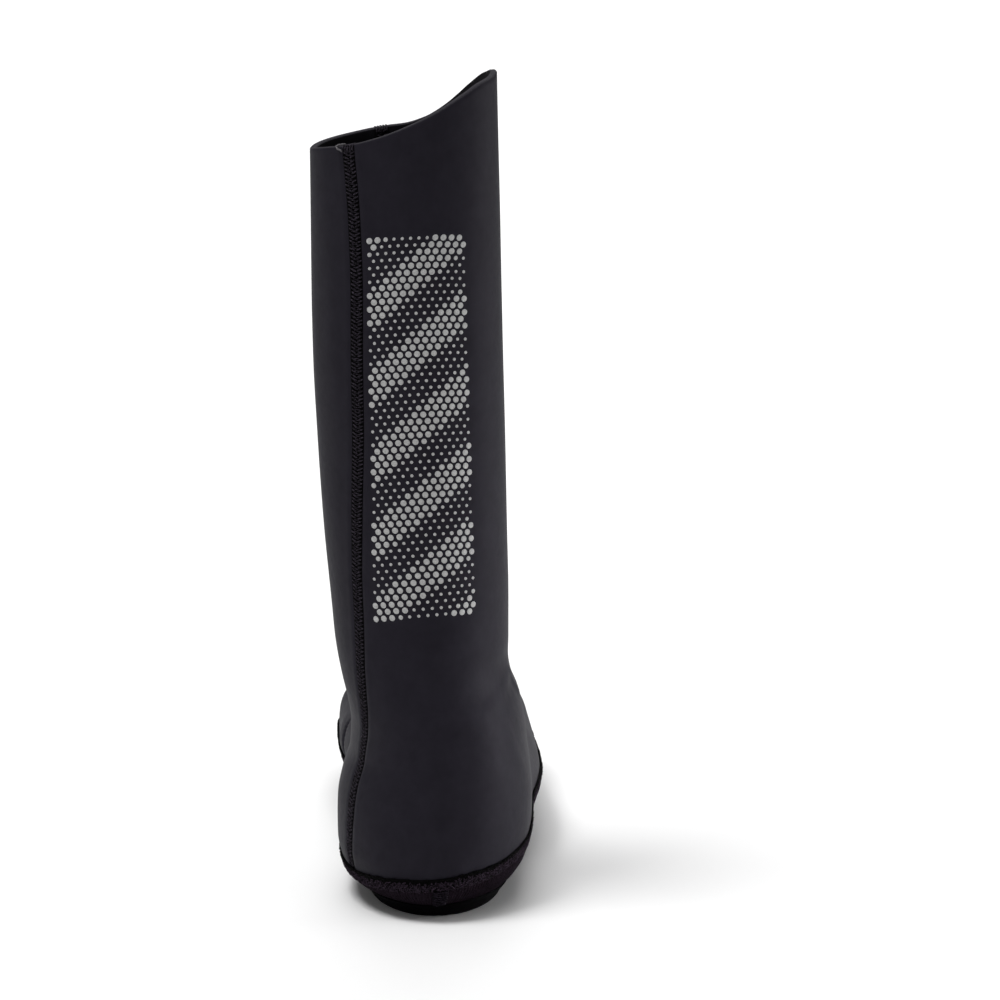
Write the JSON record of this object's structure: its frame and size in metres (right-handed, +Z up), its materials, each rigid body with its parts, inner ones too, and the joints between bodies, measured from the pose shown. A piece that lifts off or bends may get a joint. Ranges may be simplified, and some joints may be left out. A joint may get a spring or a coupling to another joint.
{
  "type": "neoprene overshoe",
  "caption": "Tall neoprene cycling overshoe for the right foot, with a slanted cut collar, flat seams, a bound sole edge, a cleat opening and a rubber heel pad.",
  "frame": {"origin": "centre of the bounding box in plan, on the floor that the sole stands on", "axes": "+Z up, +Y from heel to toe, +X towards the wearer's outer (right) side"},
  "size_m": [0.1034, 0.2876, 0.3739],
  "materials": {
    "neoprene": "satin",
    "sole_textile": "matte",
    "thread": "matte",
    "pad_rubber": "satin"
  },
  "bodies": {
    "root": {"upper": "neoprene", "sole": "sole_textile", "sole_binding": "thread", "rear_seam": "thread", "front_seam": "thread", "heel_pad": "pad_rubber"}
  },
  "joints": []
}
